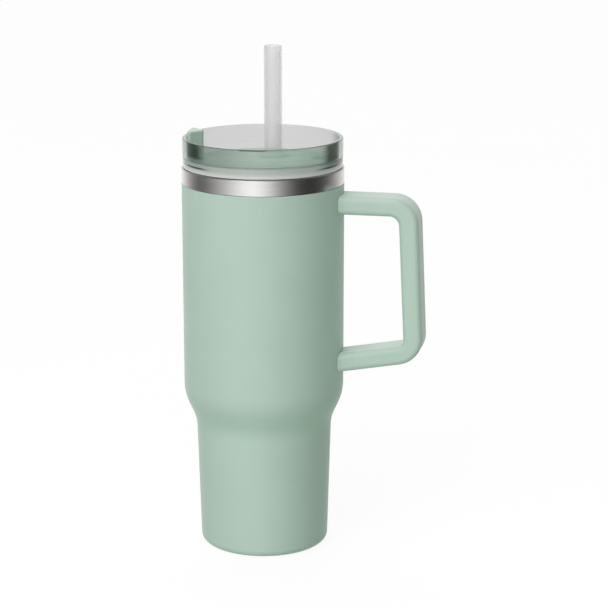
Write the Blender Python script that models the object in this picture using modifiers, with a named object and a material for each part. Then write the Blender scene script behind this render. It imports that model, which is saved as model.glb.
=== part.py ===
"""Insulated travel mug: a vacuum-walled steel tumbler with a side handle, a
clear press-in lid, a turning cover and a drinking straw.

Frame: sizes are in millimetres and are scaled to metres as meshes are made.
+Z up, origin at the middle of the flat base, +X towards the handle. The mug's
axis is Z. Angles are in degrees, from +X towards +Y.

Pieces
  mug    outer_shell, inner_vessel, radiation_foil, base_disc, base_cover,
         vacuum_getter, vacuum_seal, handle_grip, handle_frame, two handle
         brackets, two screws and two screw plugs
  lid    lid_body, lid_gasket
  cover  rotating_cover, cover_seal, straw_grommet, pivot_pin, pivot_washer,
         pivot_cap
  straw  straw

Suffixes: R radius, Z height, 0 the inner or lower limit, 1 the outer or upper.
"""

import math

import bmesh
import bpy
from mathutils import Matrix, Vector

MM = 0.001

# ------------------------------------------------------------------ dimensions
STEPS = 48                 # facets round large turned pieces
MID_STEPS = 24             # round the straw's and the pivot's pieces
SMALL_STEPS = 16           # round screws and other small pieces
SHARP_ANGLE = 35.0         # edges steeper than this are shaded sharp
GAP = 0.3                  # clearance between neighbouring pieces
SOFT_GAP = 0.35            # clearance above and below the silicone pieces

# body
BODY_R = 50.0              # outer radius just under the mouth
SHOULDER_R = 49.9          # outer radius where the body starts to narrow
SHOULDER_Z = 98.0
WAIST_R = 42.3             # outer radius under the shoulder
WAIST_Z = 81.2
BASE_R = 39.9              # outer radius at the base
BASE_HOLE_R = 35.0         # opening in the bottom, filled by the base cover
SHOULDER_FILLET = 30.0
WAIST_FILLET = 26.0
BASE_FILLET = 4.8
WALL = 0.8                 # steel wall thickness
VACUUM_GAP = 3.0
PAINT_TOP_Z = 231.1        # top edge of the painted shell
RIM_Z = 241.2              # mouth
VESSEL_FLOOR_Z = 8.0
DISC_HOLE_R = 1.4          # hole in the base disc, filled by the vacuum seal
DISC_Z0 = 3.0
DISC_Z1 = 3.8

# lid
FLANGE_R = 49.2
FLANGE_Z0 = 241.55
FLANGE_Z1 = 247.3
WALL_GROOVE_R = 48.7       # shallow groove between the flange and the raised wall
WALL_GROOVE_Z1 = 248.1
LID_WALL_R = 49.35         # outer radius of the lid's raised wall
LEDGE_Z1 = 242.55          # top of the ledge under the cover's brim
RECESS_R = 41.0            # recess inside the ledge, for the cover's thick centre
LID_TOP_Z = 259.0
LID_BORE_R = 46.8
LID_FLOOR_Z0 = 236.6
LID_FLOOR_Z1 = 238.6
FLOOR_CUT_Z0 = 234.0       # reach of the cutters through the lid's floor
FLOOR_CUT_Z1 = 240.0
PLUG_R = 43.2
PLUG_BORE_R = 40.7
PLUG_Z0 = 229.0
GASKET_GROOVE_Z0 = PLUG_Z0 + 3.3
GASKET_GROOVE_Z1 = PLUG_Z0 + 7.9

# cover
COVER_R = 46.4
COVER_Z0 = 240.6
COVER_Z1 = 243.9
BRIM_Z0 = 242.9            # underside of the cover's thin brim
PIN_SEAT_Z = 241.9         # seat in the cover for the pivot pin's head
TAB_R0 = 37.0
TAB_R1 = 46.3
TAB_TOP_Z = 262.3
TAB_ANGLE = 184.0          # direction of the grip tab with the cover at rest
TAB_HALF = 12.8            # half the angle that the tab spans at its outer side
TAB_NOSE = 3.0             # the same at its inner side: the tab narrows like a wedge
TURN = 120.0               # how far the cover turns

# straw
STRAW_R = 5.55
STRAW_BORE_R = 4.55
STRAW_ORBIT = 21.0         # distance of the straw from the mug's axis
STRAW_ANGLE = 84.6
STRAW_Z0 = 9.6
STRAW_Z1 = 312.3
STRAW_EDGE = 0.35          # chamfer at the top
STRAW_HOLE_R = 8.0         # hole in the cover, for the grommet

# ports
SLOT_HALF_W = 7.6          # the arc slot that the grommet's spout rides in
PORT_R0 = 32.4
PORT_R1 = 38.6
PORT_HALF = 10.0           # half the angle that a port spans
FLOOR_PORT_ANGLE = 90.0
COVER_PORT_ANGLE = 30.0

# handle
HANDLE_W = 21.8
HANDLE_EDGE = 3.8          # rounding of the handle's long edges
HALF_ARM = 11.6 / 2        # half the thickness of an arm
ROOT_X = 46.0              # the grip's outline starts here, inside the body
TOP_ARM_Z = 219.75
LOW_ARM_X = 50.0           # a point on the lower arm's middle line
LOW_ARM_Z = 120.45
LOW_ARM_SLOPE = 0.18
LOW_ARM_TILT = math.atan(LOW_ARM_SLOPE)
BAR_OUT_TOP_X = 97.4
BAR_OUT_LOW_X = 101.9
BAR_IN_TOP_X = 85.8
BAR_IN_LOW_X = 89.6
BAR_MID_TOP_X = (BAR_OUT_TOP_X + BAR_IN_TOP_X) / 2
BAR_MID_LOW_X = (BAR_OUT_LOW_X + BAR_IN_LOW_X) / 2
STRAP_HALF_W = 6.0         # half the width of the strap and its brackets
SCREW_X = 57.0             # where the screws cross the arms' middle lines


# --------------------------------------------------------------------- outlines
def bend(points, radii, steps):
    """A polyline with its inner corners rounded, each to its radius and steps."""
    out = [Vector(points[0])]
    for *corner, radius, count in zip(points, points[1:], points[2:], radii, steps):
        before, tip, after = (Vector(point) for point in corner)
        back = (before - tip).normalized()
        ahead = (after - tip).normalized()
        half = back.angle(ahead) / 2
        cut = radius / math.tan(half)
        centre = tip + (back + ahead).normalized() * (radius / math.sin(half))
        start = tip + back * cut - centre
        end = tip + ahead * cut - centre
        turn = start.angle(end)
        for k in range(count + 1):
            t = k / count
            spoke = (math.sin((1 - t) * turn) * start + math.sin(t * turn) * end) / math.sin(turn)
            out.append(centre + spoke)
    out.append(Vector(points[-1]))
    return [(point.x, point.y) for point in out]


def ribbon(path, half):
    """Both sides of a path, as one closed outline."""
    left, right = [], []
    for i, point in enumerate(path):
        before = Vector(path[max(i - 1, 0)])
        after = Vector(path[min(i + 1, len(path) - 1)])
        along = (after - before).normalized()
        across = Vector((-along.y, along.x)) * half
        left.append(tuple(Vector(point) + across))
        right.append(tuple(Vector(point) - across))
    return left + list(reversed(right))


def polar(radius, angle):
    turn = math.radians(angle)
    return radius * math.cos(turn), radius * math.sin(turn)


def arc(radius, angle0, angle1, steps):
    return [polar(radius, angle0 + (angle1 - angle0) * k / steps) for k in range(steps + 1)]


def arc_slot(radius, half, angle0, angle1, steps, end_steps):
    """An arc slot with round ends."""
    def round_end(at_angle, start):
        x0, y0 = polar(radius, at_angle)
        return [(x0 + x, y0 + y) for x, y in arc(half, start, start + 180, end_steps)[1:-1]]

    return (arc(radius + half, angle0, angle1, steps)
            + round_end(angle1, angle1)
            + list(reversed(arc(radius - half, angle0, angle1, steps)))
            + round_end(angle0, angle0 + 180))


def ring(r0, r1, z0, z1):
    """The profile of a flat ring."""
    return [(r1, z1), (r1, z0), (r0, z0), (r0, z1)]


# ---------------------------------------------------------------------- solids
def mesh_object(name, bm, mat):
    """Pieces carry a material. Without one, the object is a hidden cutter."""
    mesh = bpy.data.meshes.new(name)
    bm.to_mesh(mesh)
    bm.free()
    ob = bpy.data.objects.new(name, mesh)
    if mat is not None:
        parts.objects.link(ob)
        mesh.materials.append(mat)
    else:
        cutters.objects.link(ob)
        ob.hide_render = True
        ob.display_type = 'WIRE'
    return ob


def turned(name, profile, mat=None, steps=STEPS, at=(0.0, 0.0), closed=True):
    """A profile of (radius, height) turned about the vertical through `at`."""
    bm = bmesh.new()
    verts = [bm.verts.new((radius * MM, 0.0, z * MM)) for radius, z in profile]
    for pair in zip(verts, verts[1:]):
        bm.edges.new(pair)
    if closed:
        bm.edges.new((verts[-1], verts[0]))
    ob = mesh_object(name, bm, mat)
    ob.location = (at[0] * MM, at[1] * MM, 0.0)
    screw = ob.modifiers.new("turn", 'SCREW')
    screw.axis = 'Z'
    screw.angle = math.tau
    screw.steps = screw.render_steps = steps
    screw.use_merge_vertices = True
    screw.merge_threshold = 1e-6
    screw.use_normal_calculate = False
    return ob


def drill(name, radius, z0, z1, steps, at=(0.0, 0.0)):
    """An upright cylinder that cuts a hole."""
    return turned(name, [(0, z1), (radius, z1), (radius, z0), (0, z0)], steps=steps, at=at,
                  closed=False)


def prism(name, outline, low, high, mat=None, plane='XY'):
    """A flat outline pushed out into a solid. XY pushes along Z, XZ along Y."""
    bm = bmesh.new()
    depth = (high - low) * MM
    if plane == 'XY':
        verts = [bm.verts.new((x * MM, y * MM, low * MM)) for x, y in outline]
        push = Vector((0, 0, depth))
    else:
        verts = [bm.verts.new((x * MM, low * MM, z * MM)) for x, z in outline]
        push = Vector((0, depth, 0))
    grown = bmesh.ops.extrude_face_region(bm, geom=[bm.faces.new(verts)])
    moved = [item for item in grown["geom"] if isinstance(item, bmesh.types.BMVert)]
    bmesh.ops.translate(bm, vec=push, verts=moved)
    bmesh.ops.recalc_face_normals(bm, faces=bm.faces)
    return mesh_object(name, bm, mat)


def port(name, angle, z0, z1, grow_in=0.0, grow_out=0.0, grow_angle=0.0):
    """A cutter for a port about the given direction."""
    start = angle - PORT_HALF - grow_angle
    end = angle + PORT_HALF + grow_angle
    outer = arc(PORT_R1 + grow_out, start, end, steps=4)
    inner = arc(PORT_R0 - grow_in, start, end, steps=4)
    return prism(name, outer + list(reversed(inner)), z0, z1)


def round_edges(ob, width, segments, angle):
    """Bevels the edges that are sharper than the angle."""
    bevel = ob.modifiers.new("round", 'BEVEL')
    bevel.width = width * MM
    bevel.segments = segments
    bevel.limit_method = 'ANGLE'
    bevel.angle_limit = math.radians(angle)


def boolean(ob, cutter, kind='DIFFERENCE'):
    modifier = ob.modifiers.new(kind.lower(), 'BOOLEAN')
    modifier.operation = kind
    modifier.solver = 'EXACT'
    modifier.object = cutter


def finish(ob):
    """Applies the modifiers and shades round faces smooth."""
    depsgraph = bpy.context.evaluated_depsgraph_get()
    depsgraph.update()
    mesh = bpy.data.meshes.new_from_object(ob.evaluated_get(depsgraph))
    mesh.name = ob.name
    ob.modifiers.clear()
    ob.data = mesh
    mesh.shade_smooth()
    mesh.set_sharp_from_angle(angle=math.radians(SHARP_ANGLE))


# ----------------------------------------------------------- scene and materials
for old in list(bpy.data.objects):
    bpy.data.objects.remove(old, do_unlink=True)

parts = bpy.data.collections.new("insulated_travel_mug")
cutters = bpy.data.collections.new("cutters")
bpy.context.scene.collection.children.link(parts)
bpy.context.scene.collection.children.link(cutters)


def material(name, colour, roughness, metallic=0.0, alpha=1.0):
    mat = bpy.data.materials.new(name)
    mat.use_nodes = True
    inputs = mat.node_tree.nodes["Principled BSDF"].inputs
    inputs["Base Color"].default_value = (*colour, 1.0)
    inputs["Roughness"].default_value = roughness
    inputs["Metallic"].default_value = metallic
    inputs["Alpha"].default_value = alpha
    return mat


SAGE = (0.40, 0.53, 0.44)
PAINT = material("sage_powder_coat", SAGE, roughness=0.55)
STEEL = material("brushed_steel", (0.62, 0.61, 0.60), roughness=0.28, metallic=1.0)
COPPER = material("copper_foil", (0.80, 0.43, 0.28), roughness=0.30, metallic=1.0)
GETTER = material("getter_alloy", (0.32, 0.32, 0.33), roughness=0.60, metallic=1.0)
SOLDER = material("glass_solder", (0.20, 0.22, 0.20), roughness=0.35)
GRIP_PLASTIC = material("sage_plastic", SAGE, roughness=0.50)
CLEAR = material("clear_lid_plastic", (0.85, 0.87, 0.86), roughness=0.08, alpha=0.35)
COVER_PLASTIC = material("sage_cover_plastic", (0.36, 0.49, 0.40), roughness=0.40)
SILICONE = material("white_silicone", (0.82, 0.83, 0.82), roughness=0.55)
SAGE_SILICONE = material("sage_silicone", (0.37, 0.50, 0.41), roughness=0.60)
STRAW_PLASTIC = material("clear_straw_plastic", (0.80, 0.80, 0.80), roughness=0.15, alpha=0.55)
RUBBER = material("sage_rubber", (0.34, 0.46, 0.38), roughness=0.70)


# ------------------------------------------------------------------------ body
def outer_shell():
    """The painted outer wall: one sheet, from under the steel mouth ring down
    over the shoulder to the opening in the bottom."""
    line = bend([(BODY_R, PAINT_TOP_Z), (SHOULDER_R, SHOULDER_Z), (WAIST_R, WAIST_Z),
                 (BASE_R, 0.0), (BASE_HOLE_R, 0.0)],
                radii=[SHOULDER_FILLET, WAIST_FILLET, BASE_FILLET], steps=[4, 4, 5])
    sheet = turned("outer_shell", line, PAINT, closed=False).modifiers.new("sheet", 'SOLIDIFY')
    sheet.thickness = WALL * MM
    sheet.offset = -1.0
    sheet.use_even_offset = True
    sheet.use_quality_normals = True


def vessel_line(inset, top_z, floor_z, floor_fillet):
    """The body's line set in, from the mouth down to the middle of the floor."""
    # the set-in shoulder and waist rise by the inset times this angle's tangent
    rise = inset * math.tan(math.radians(12.1))
    return bend([(BODY_R - inset, top_z), (SHOULDER_R - inset, SHOULDER_Z + rise),
                 (WAIST_R - inset, WAIST_Z + rise), (BASE_R - inset + 0.2, floor_z),
                 (0.0, floor_z)],
                radii=[SHOULDER_FILLET + inset, WAIST_FILLET - inset, floor_fillet],
                steps=[3, 3, 4])


def inner_vessel():
    """The drink's own wall, set in by the vacuum gap. At the mouth it folds out
    and down into the bare steel ring that meets the painted shell's top edge."""
    outer_inset = WALL + VACUUM_GAP
    inner_inset = outer_inset + WALL
    fillet = 8.0
    outer = vessel_line(outer_inset, RIM_Z - 3.2, VESSEL_FLOOR_Z, fillet)
    inner = vessel_line(inner_inset, RIM_Z - 0.7, VESSEL_FLOOR_Z + WALL, fillet - WALL)
    ring_wall = 1.0
    ring_bore_r = BODY_R - ring_wall
    ring_z0 = PAINT_TOP_Z + GAP
    fold_z = RIM_Z - 1.6       # underside of the fold
    mouth = [(BODY_R - inner_inset + 0.7, RIM_Z), (ring_bore_r, RIM_Z),
             (BODY_R - 0.3, RIM_Z - 0.3), (BODY_R, RIM_Z - 1.0),
             (BODY_R, ring_z0), (ring_bore_r, ring_z0),
             (ring_bore_r, fold_z), (BODY_R - outer_inset + 0.5, fold_z)]
    turned("inner_vessel", list(reversed(inner)) + mouth + outer, STEEL, closed=False)


def radiation_foil():
    """A slightly tapered copper sleeve in the middle of the vacuum space."""
    middle_r = BODY_R - WALL - VACUUM_GAP / 2
    z0, z1 = 110.0, 227.0
    turned("radiation_foil", [(middle_r + 0.15, z1), (middle_r + 0.05, z0),
                              (middle_r - 0.25, z0), (middle_r - 0.15, z1)], COPPER)


def base_pieces():
    """The disc that closes the vacuum space, its seal, the getter on top of it
    and the painted cover in the shell's opening."""
    turned("base_disc", ring(DISC_HOLE_R, 38.2, DISC_Z0, DISC_Z1), STEEL)

    on_disc_z = DISC_Z1 + GAP
    under_disc_z = DISC_Z0 - GAP
    stem_r = DISC_HOLE_R - GAP
    turned("vacuum_seal", [(0.0, on_disc_z), (stem_r, on_disc_z), (stem_r, under_disc_z),
                           (2.2, under_disc_z), (1.6, 2.0), (0.0, 1.9)],
           SOLDER, steps=SMALL_STEPS, closed=False)
    turned("vacuum_getter", [(0.0, 6.4), (3.6, 6.4), (4.0, 6.0), (4.0, on_disc_z),
                             (0.0, on_disc_z)],
           GETTER, steps=SMALL_STEPS, at=(18.0, 0.0), closed=False)

    cover_r = BASE_HOLE_R - 0.4
    cover_z1 = 1.5
    chamfer = 0.4
    turned("base_cover", [(0.0, cover_z1), (cover_r - chamfer, cover_z1),
                          (cover_r, cover_z1 - chamfer), (cover_r, chamfer),
                          (cover_r - chamfer, 0.0), (0.0, 0.0)], PAINT, closed=False)


# ---------------------------------------------------------------------- handle
def low_arm_z(x):
    """Height of the lower arm's middle line."""
    return LOW_ARM_Z + (x - LOW_ARM_X) * LOW_ARM_SLOPE


def handle_line(end_x, lift=0.0):
    """The handle's middle line, out along the upper arm and back along the lower."""
    return bend([(end_x, TOP_ARM_Z + lift), (BAR_MID_TOP_X, TOP_ARM_Z + lift),
                 (BAR_MID_LOW_X, low_arm_z(BAR_MID_LOW_X) + lift),
                 (end_x, low_arm_z(end_x) + lift)], radii=[10.0, 8.0], steps=[5, 5])


def handle_grip(body_form):
    """The plastic handle, hollow along its middle line."""
    half_rise = HALF_ARM / math.cos(LOW_ARM_TILT)     # half the lower arm, straight up
    top_z1 = TOP_ARM_Z + HALF_ARM
    top_z0 = TOP_ARM_Z - HALF_ARM
    outer = bend([(ROOT_X, top_z1), (BAR_OUT_TOP_X, top_z1),
                  (BAR_OUT_LOW_X, low_arm_z(BAR_OUT_LOW_X) - half_rise),
                  (ROOT_X, low_arm_z(ROOT_X) - half_rise)], radii=[17.0, 17.0], steps=[8, 8])
    inner = bend([(ROOT_X, low_arm_z(ROOT_X) + half_rise),
                  (BAR_IN_LOW_X, low_arm_z(BAR_IN_LOW_X) + half_rise),
                  (BAR_IN_TOP_X, top_z0), (ROOT_X, top_z0)], radii=[4.0, 6.0], steps=[4, 5])
    grip = prism("handle_grip", outer + inner, -HANDLE_W / 2, HANDLE_W / 2, GRIP_PLASTIC, 'XZ')
    round_edges(grip, HANDLE_EDGE, segments=3, angle=40.0)
    boolean(grip, body_form)
    cavity_half_w = 6.6
    boolean(grip, prism("grip_cavity", ribbon(handle_line(end_x=40.0), half=3.0),
                        -cavity_half_w, cavity_half_w, plane='XZ'))
    return grip


def handle_frame():
    """A flat steel strap bent to the handle's line. Its two ends lie on the
    brackets."""
    outline = ribbon(handle_line(end_x=52.2, lift=1.4), half=1.1)
    return prism("handle_frame", outline, -STRAP_HALF_W, STRAP_HALF_W, STEEL, 'XZ')


def arm_fittings(end, arm, body_form, grip, frame):
    """One arm's bracket, screw and plug, with the holes for them. They are built
    about the origin; the matrix `arm` moves them to the arm, +X outwards."""
    # the bracket is a lug welded to the body, under the strap's end
    x0, x1 = -12.0, 6.0
    z0, z1 = -2.7, -0.1
    bracket = prism(end + "_handle_bracket", [(x0, z0), (x1, z0), (x1, z1), (x0, z1)],
                    -STRAP_HALF_W, STRAP_HALF_W, STEEL, 'XZ')
    hole = drill(end + "_bracket_hole", 2.0, -4.5, 6, steps=SMALL_STEPS)
    recess = drill(end + "_screw_recess", 3.7, -9.0, -2.95, steps=20)
    # head down, with a socket in its underside
    screw = turned(end + "_handle_screw",
                   [(0, 2.75), (1.7, 2.75), (1.7, -3.0), (3.3, -3.0),
                    (3.3, -4.4), (1.2, -4.4), (1.2, -3.7), (0, -3.7)],
                   STEEL, steps=SMALL_STEPS, closed=False)
    plug = turned(end + "_screw_plug",
                  [(0, -4.7), (3.4, -4.7), (3.4, -5.5), (3.1, -5.75), (0, -5.75)],
                  RUBBER, steps=SMALL_STEPS, closed=False)
    for ob in (bracket, hole, recess, screw, plug):
        ob.matrix_world = arm
    # the recess starts a little inside the cavity, so that it opens cleanly
    recess.location.z += 0.4 * MM

    boolean(bracket, body_form)
    boolean(bracket, hole)
    boolean(frame, hole)
    boolean(grip, recess)


def handle():
    # the body's own surface plus a clearance: the grip and the brackets are
    # cut to it
    above_arms_z = 245.0
    body_form = turned("body_form", [(0.0, above_arms_z), (BODY_R + GAP, above_arms_z),
                                     (SHOULDER_R + GAP, SHOULDER_Z), (0.0, SHOULDER_Z)],
                       closed=False)
    grip = handle_grip(body_form)
    frame = handle_frame()
    upper = Matrix.Translation((SCREW_X * MM, 0, TOP_ARM_Z * MM))
    lower = (Matrix.Translation((SCREW_X * MM, 0, low_arm_z(SCREW_X) * MM))
             @ Matrix.Rotation(-LOW_ARM_TILT, 4, 'Y'))
    for end, arm in (("upper", upper), ("lower", lower)):
        arm_fittings(end, arm, body_form, grip, frame)


# ------------------------------------------------------------------------- lid
def lid_body():
    edge = 0.7                     # chamfers at the top of the raised wall
    gasket_groove_r = PLUG_R - 1.6
    pin_hole_r = 4.2
    lid = turned("lid_body", [
        # raised wall, shallow groove and flange, down the outside
        (LID_BORE_R + edge, LID_TOP_Z), (LID_WALL_R - edge, LID_TOP_Z),
        (LID_WALL_R, LID_TOP_Z - edge), (LID_WALL_R, WALL_GROOVE_Z1 + 0.3),
        (WALL_GROOVE_R, WALL_GROOVE_Z1 - 0.1), (WALL_GROOVE_R, FLANGE_Z1 + 0.2),
        (FLANGE_R, FLANGE_Z1 - 0.2), (FLANGE_R, FLANGE_Z0 + 0.3), (FLANGE_R - 0.3, FLANGE_Z0),
        # plug with the gasket's groove
        (PLUG_R, FLANGE_Z0), (PLUG_R, GASKET_GROOVE_Z1), (gasket_groove_r, GASKET_GROOVE_Z1),
        (gasket_groove_r, GASKET_GROOVE_Z0), (PLUG_R, GASKET_GROOVE_Z0),
        (PLUG_R, PLUG_Z0 + 0.8), (PLUG_R - 0.8, PLUG_Z0), (PLUG_BORE_R, PLUG_Z0),
        # floor, ledge and bore
        (PLUG_BORE_R, LID_FLOOR_Z0), (pin_hole_r, LID_FLOOR_Z0), (pin_hole_r, LID_FLOOR_Z1),
        (RECESS_R, LID_FLOOR_Z1), (RECESS_R, LEDGE_Z1), (LID_BORE_R, LEDGE_Z1),
        (LID_BORE_R, LID_TOP_Z - edge)], CLEAR)
    slot = arc_slot(STRAW_ORBIT, SLOT_HALF_W, STRAW_ANGLE, STRAW_ANGLE + TURN,
                    steps=16, end_steps=6)
    boolean(lid, prism("straw_slot", slot, FLOOR_CUT_Z0, FLOOR_CUT_Z1))
    boolean(lid, port("floor_port", FLOOR_PORT_ANGLE, FLOOR_CUT_Z0, FLOOR_CUT_Z1))
    boolean(lid, drill("vent_hole", 1.2, FLOOR_CUT_Z0, FLOOR_CUT_Z1, steps=10,
                       at=(0.0, -34.0)))


def lid_gasket():
    """A ribbed ring in the plug's groove: it seals against the vessel's wall."""
    bore_r = PLUG_R - 1.25
    web_r = 44.1
    rib_r = 45.1
    mid_z = (GASKET_GROOVE_Z0 + GASKET_GROOVE_Z1) / 2
    turned("lid_gasket", [
        (bore_r, mid_z + 1.9), (web_r, mid_z + 1.9), (rib_r, mid_z + 1.3), (web_r, mid_z + 0.5),
        (web_r, mid_z - 0.4), (rib_r, mid_z - 1.2), (web_r, mid_z - 1.9),
        (bore_r, mid_z - 1.9)], SILICONE)


# ----------------------------------------------------------------------- cover
STRAW_AT = polar(STRAW_ORBIT, STRAW_ANGLE)


def grip_tab():
    """The wedge that stands on the cover, cut off level inside the brim."""
    outline = (arc(TAB_R1, TAB_ANGLE - TAB_HALF, TAB_ANGLE + TAB_HALF, steps=4)
               + arc(TAB_R0, TAB_ANGLE + TAB_NOSE, TAB_ANGLE - TAB_NOSE, steps=1))
    tab = prism("grip_tab", outline, COVER_Z0 - 2.0, TAB_TOP_Z)
    round_edges(tab, 1.6, segments=2, angle=50.0)
    boolean(tab, turned("tab_foot", ring(30.0, 52.0, COVER_Z0 - 4.0, BRIM_Z0 + 0.4)))
    return tab


def rotating_cover():
    chamfer = 0.3
    centre_r = RECESS_R - 0.4      # the thick centre, inside the lid's ledge
    pin_hole_r = 4.0
    seat_r = 7.8
    cut_z0, cut_z1 = COVER_Z0 - 1, COVER_Z1 + 1
    cover = turned("rotating_cover", [
        (COVER_R - chamfer, COVER_Z1), (COVER_R, COVER_Z1 - chamfer), (COVER_R, BRIM_Z0),
        (centre_r, BRIM_Z0), (centre_r, COVER_Z0 + chamfer), (centre_r - chamfer, COVER_Z0),
        (pin_hole_r, COVER_Z0), (pin_hole_r, PIN_SEAT_Z), (seat_r, PIN_SEAT_Z),
        (seat_r, COVER_Z1)], COVER_PLASTIC)
    boolean(cover, grip_tab(), 'UNION')
    boolean(cover, drill("straw_hole", STRAW_HOLE_R, cut_z0, cut_z1, steps=MID_STEPS,
                         at=STRAW_AT))
    boolean(cover, port("cover_port", COVER_PORT_ANGLE, cut_z0, cut_z1))


def cover_seal():
    """A flat ring between the cover and the lid's floor, open at the cover's port."""
    seal = turned("cover_seal", ring(31.0, 40.4, LID_FLOOR_Z1 + SOFT_GAP, COVER_Z0 - SOFT_GAP),
                  SILICONE)
    boolean(seal, port("seal_port", COVER_PORT_ANGLE, COVER_Z0 - 3, COVER_Z0 + 1,
                       grow_in=0.2, grow_out=0.4, grow_angle=1))


def straw_grommet():
    """Snapped into the cover's straw hole; its spout rides in the lid's arc slot."""
    neck_r = STRAW_HOLE_R - GAP
    bore_r = STRAW_R + GAP
    foot_r = 9.4
    foot_z0 = LID_FLOOR_Z1 + 0.4
    spout_z0 = LID_FLOOR_Z0 - 1.4
    collar_z1 = COVER_Z1 + 1.3
    lip_z1 = COVER_Z1 + 2.3
    turned("straw_grommet", [
        (9.3, collar_z1), (9.6, COVER_Z1 + 1.0), (9.6, COVER_Z1 + SOFT_GAP),
        (neck_r, COVER_Z1 + SOFT_GAP), (neck_r, COVER_Z0 - SOFT_GAP),
        (foot_r, COVER_Z0 - SOFT_GAP), (foot_r, foot_z0), (7.0, foot_z0), (6.7, spout_z0),
        (bore_r, spout_z0), (bore_r, lip_z1), (6.6, lip_z1), (7.0, collar_z1)],
        SAGE_SILICONE, steps=MID_STEPS, at=STRAW_AT)


def pivot():
    """The pin's head lies in a seat in the cover, under a cap. The pin's wide
    lower end lies under a washer below the lid's floor."""
    head_r, head_z0, head_z1 = 6.6, PIN_SEAT_Z + GAP, PIN_SEAT_Z + 1.0
    stem_r = 3.6
    catch_r, catch_z1 = 5.3, LID_FLOOR_Z0 - 1.3
    pin_z0 = LID_FLOOR_Z0 - 3.4
    turned("pivot_pin", [
        (0.0, head_z1), (head_r, head_z1), (head_r, head_z0), (stem_r, head_z0),
        (stem_r, catch_z1), (catch_r, catch_z1), (catch_r, LID_FLOOR_Z0 - 2.2),
        (4.2, pin_z0), (0.0, pin_z0)], CLEAR, steps=MID_STEPS, closed=False)
    turned("pivot_washer", ring(3.95, 8.0, LID_FLOOR_Z0 - 1.0, LID_FLOOR_Z0 - GAP),
           SILICONE, steps=MID_STEPS)
    cap_r, cap_z0 = 7.4, COVER_Z1 - 0.65
    turned("pivot_cap", [
        (0.0, COVER_Z1 + 0.5), (4.5, COVER_Z1 + 0.4), (7.0, COVER_Z1 + 0.15),
        (cap_r, COVER_Z1 - 0.1), (cap_r, cap_z0), (0.0, cap_z0)],
        COVER_PLASTIC, steps=MID_STEPS, closed=False)


# ----------------------------------------------------------------------- straw
def straw():
    turned("straw", [
        (STRAW_R - STRAW_EDGE, STRAW_Z1), (STRAW_R, STRAW_Z1 - STRAW_EDGE),
        (STRAW_R, STRAW_Z0), (STRAW_BORE_R, STRAW_Z0), (STRAW_BORE_R, STRAW_Z1)],
        STRAW_PLASTIC, steps=MID_STEPS, at=STRAW_AT)


# ----------------------------------------------------------------------- build
for build in (outer_shell, inner_vessel, radiation_foil, base_pieces, handle,
              lid_body, lid_gasket, rotating_cover, cover_seal, straw_grommet, pivot, straw):
    build()

for piece in list(parts.objects):
    finish(piece)
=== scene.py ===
"""Looks of an insulated travel mug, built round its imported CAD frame.

The mug stands upright on z = 0 with its axis on Z. The handle points to +X and
the camera looks from -Y, a little towards +X. Each visible piece is a fine mesh
with a procedural material that rides on its CAD body. Shapes are drawn in
millimetres; MM turns them into metres. A turned profile is a list of
(radius, height) or (radius, height, corner radius).
"""
import math

import bmesh
import bpy
from mathutils import Matrix, Vector


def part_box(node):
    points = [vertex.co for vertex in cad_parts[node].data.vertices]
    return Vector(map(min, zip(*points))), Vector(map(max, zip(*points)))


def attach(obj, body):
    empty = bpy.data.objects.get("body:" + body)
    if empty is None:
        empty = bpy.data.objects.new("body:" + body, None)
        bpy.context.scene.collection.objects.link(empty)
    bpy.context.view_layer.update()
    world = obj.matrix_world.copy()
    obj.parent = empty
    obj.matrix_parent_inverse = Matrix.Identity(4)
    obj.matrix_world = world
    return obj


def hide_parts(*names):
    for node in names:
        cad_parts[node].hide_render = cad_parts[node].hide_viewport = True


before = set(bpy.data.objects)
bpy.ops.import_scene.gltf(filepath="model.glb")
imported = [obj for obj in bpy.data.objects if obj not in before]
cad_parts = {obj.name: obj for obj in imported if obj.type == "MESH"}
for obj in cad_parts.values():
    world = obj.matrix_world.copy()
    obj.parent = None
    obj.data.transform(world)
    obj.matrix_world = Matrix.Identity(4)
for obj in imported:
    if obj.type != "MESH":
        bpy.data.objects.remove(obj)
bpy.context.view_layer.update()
MM = 0.001


# ------------------------------------------------------------ sizes, in mm
def mm_box(node):
    """The low and high corners of a CAD node."""
    low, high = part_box(node)
    return [c / MM for c in low], [c / MM for c in high]


_, shell_high = mm_box("outer_shell")
_, vessel_high = mm_box("inner_vessel")
lid_low, lid_high = mm_box("lid_body")
cover_low, cover_high = mm_box("rotating_cover")
cap_low, cap_high = mm_box("pivot_cap")
_, pin_high = mm_box("pivot_pin")
straw_low, straw_high = mm_box("straw")
seal_low, seal_high = mm_box("cover_seal")
grip_low, grip_high = mm_box("handle_grip")
_, plate_high = mm_box("base_cover")
gasket_low, gasket_high = mm_box("lid_gasket")

# body: the shoulder, waist and base are (radius, height) corners of its side
BODY_R = shell_high[0]
PAINT_TOP = shell_high[2]
RIM_Z = vessel_high[2] - 0.25
WALL = 0.8
VACUUM = 3.0
SHOULDER = (49.9, 98.0)
WAIST = (42.3, 81.2)
BASE_R = 39.9
PLATE_R = plate_high[0]
BASE_HOLE_R = PLATE_R + 0.4
SHOULDER_FILLET, WAIST_FILLET, BASE_FILLET = 30.0, 26.0, 4.8

# lid
LID_Z = lid_high[2]
LID_R = lid_high[0]
LID_BORE_R = 46.8
FLANGE_R = 49.2
FLANGE_Z0 = RIM_Z + 0.35
FLANGE_Z1 = LID_Z - 11.7
LEDGE_Z = vessel_high[2] + 1.35
FLOOR_Z0, FLOOR_Z1 = 236.6, 238.6
RECESS_R = 41.0
PLUG_Z0 = lid_low[2]
PLUG_R, PLUG_BORE_R = 43.2, 40.7

# ports through lid floor, cover and seal
PORT_R0, PORT_R1 = 32.4, 38.6
PORT_CORNER = 1.2
PORT_STEPS = 10

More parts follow.
